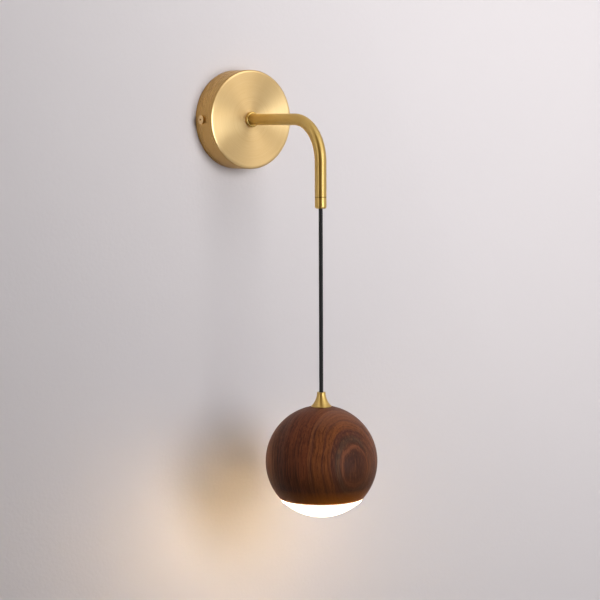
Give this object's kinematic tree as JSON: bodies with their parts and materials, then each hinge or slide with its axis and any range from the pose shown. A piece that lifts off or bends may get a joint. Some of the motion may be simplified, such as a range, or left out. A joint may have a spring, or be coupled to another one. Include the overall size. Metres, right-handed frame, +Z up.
{
  "type": "wall sconce",
  "caption": "Wall sconce with a round brass canopy, a bent brass arm and a turned walnut ball lamp with an opal cap, hung from the arm on a short black cord.",
  "frame": {"origin": "centre of the wall bracket's two slots, on the wall plane and on the canopy's axis", "axes": "+X to the right along the wall as seen from the room, +Y into the wall, +Z up; the lamp stands out along -Y"},
  "size_m": [0.11, 0.195, 0.4398],
  "materials": {
    "brass_satin": "satin brushed brass, lacquered",
    "brass_plain": "plain turned brass",
    "zinc_steel": "zinc plated steel",
    "walnut": "turned walnut, oiled",
    "opal": "opal acrylic, lit from inside",
    "cord_black": "smooth black cord",
    "nylon_white": "natural nylon",
    "nylon_grey": "dark grey nylon",
    "driver_white": "moulded white plastic",
    "foam_tape": "grey foam tape",
    "aluminium": "bare aluminium",
    "board_white": "white solder mask",
    "chip_yellow": "phosphor over a light chip",
    "ring_rubber": "soft rubber",
    "leads_red_black": "red and black insulation",
    "leads_brown_blue": "brown and blue insulation",
    "lead_earth": "green and yellow insulation"
  },
  "bodies": {
    "wall_fixture": {"wall_bracket": "zinc_steel", "earth_screw": "brass_plain", "canopy": "brass_satin", "canopy_screws": "brass_satin", "arm_collar": "brass_satin", "arm_tube": "brass_satin", "arm_nipple": "brass_plain", "lock_washer": "zinc_steel", "lock_nut": "zinc_steel", "nipple_bush": "nylon_white", "end_ferrule": "brass_satin", "cord_grip": "nylon_grey", "cord_in_arm": "cord_black", "driver_case": "driver_white", "driver_lid": "driver_white", "driver_tape": "foam_tape", "terminal_block": "nylon_white", "terminal_barrels": "brass_plain", "terminal_screws": "zinc_steel", "terminal_fixing_screw": "zinc_steel", "supply_leads": "leads_brown_blue", "earth_lead": "lead_earth", "output_leads": "leads_red_black"},
    "cord_top": {"cord_neck": "cord_black"},
    "pendant_cord": {"cord_drop": "cord_black"},
    "shade": {"cone_cap": "brass_satin", "shade_nipple": "brass_plain", "shade_washer": "zinc_steel", "shade_nut": "zinc_steel", "cord_tail": "cord_black", "cord_stop": "nylon_grey", "cord_stop_screw": "zinc_steel", "wood_ball": "walnut", "heat_sink": "aluminium", "heat_sink_screws": "zinc_steel", "led_board": "board_white", "led_chips": "chip_yellow", "board_screws": "zinc_steel", "led_leads": "leads_red_black"},
    "diffuser_cap": {"diffuser": "opal", "diffuser_ring": "ring_rubber"}
  },
  "joints": [
    {"name": "swing_side", "type": "hinge", "parent": "wall_fixture", "child": "cord_top", "pos_m": [0, -0.14, -0.0865], "axis": [0, 1, 0], "range_deg": [-45, 45]},
    {"name": "swing_front", "type": "hinge", "parent": "cord_top", "child": "pendant_cord", "pos_m": [0, -0.14, -0.0985], "axis": [1, 0, 0], "range_deg": [-45, 20]},
    {"name": "shade_twist", "type": "hinge", "parent": "pendant_cord", "child": "shade", "pos_m": [0, -0.14, -0.2665], "axis": [0, 0, 1], "range_deg": [-180, 180], "stiffness_Nm_per_rad": 0.002},
    {"name": "diffuser_pull", "type": "slide", "parent": "shade", "child": "diffuser_cap", "axis": [0, 0, -1], "range_m": [0, 0.025]}
  ]
}
